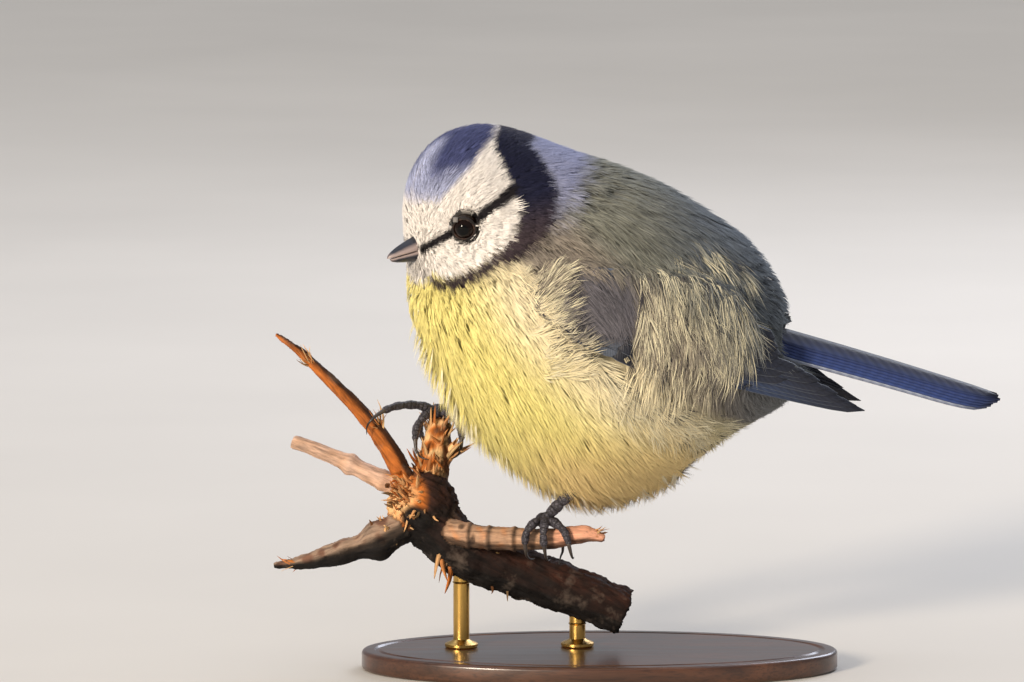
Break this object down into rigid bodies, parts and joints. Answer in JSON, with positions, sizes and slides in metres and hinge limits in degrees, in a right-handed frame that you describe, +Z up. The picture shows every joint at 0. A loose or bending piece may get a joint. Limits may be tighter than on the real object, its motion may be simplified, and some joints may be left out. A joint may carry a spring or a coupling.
{
  "type": "blue tit",
  "caption": "Life-size still model of a fluffed-up small songbird gripping a short broken branch, on an oval display base with rods.",
  "frame": {"origin": "middle of the underside of the oval stand base, on the surface it stands on", "axes": "+X from the bill towards the tail, -Y the bird's left side, +Z up"},
  "size_m": [0.1317, 0.0572, 0.099],
  "materials": {
    "head_feathers": "soft, fine feathers, blue cap, white cheeks and forehead, dark eye stripe",
    "neck_feathers": "soft feathers, dark collar over yellow breast",
    "body_feathers": "long loose feathers, yellow below, cream on the flank and olive grey on the back",
    "rump_feathers": "soft blue-grey feathers",
    "wing_feathers": "smooth slate-blue vanes with fine pale edges",
    "tail_feathers": "smooth blue vanes with a slight sheen",
    "eye": "wet gloss",
    "bill": "satin horn with paler cutting edges",
    "leg_skin": "scaled slate-grey skin",
    "claw": "satin dark horn",
    "bark": "dry bark, with raw orange splinters where it broke",
    "stand_wood": "dark stained wood, satin varnish",
    "stand_rod": "brushed brass"
  },
  "bodies": {
    "root": {"head": "head_feathers", "neck": "neck_feathers", "torso": "body_feathers", "rump": "rump_feathers", "tail": "tail_feathers", "wing_left": "wing_feathers", "wing_right": "wing_feathers", "eye_left": "eye", "eye_right": "eye", "bill_upper": "bill", "bill_lower": "bill", "leg_left": "leg_skin", "leg_right": "leg_skin", "foot_left": "leg_skin", "foot_right": "leg_skin", "claw_left_inner": "claw", "claw_left_middle": "claw", "claw_left_outer": "claw", "claw_left_hind": "claw", "claw_right_inner": "claw", "claw_right_middle": "claw", "claw_right_outer": "claw", "claw_right_hind": "claw", "perch_branch": "bark", "perch_twig": "bark", "perch_stub": "bark", "perch_sliver": "bark", "perch_snag": "bark", "perch_spur": "bark", "stand_base": "stand_wood", "stand_rod_front": "stand_rod", "stand_rod_rear": "stand_rod"}
  },
  "joints": []
}
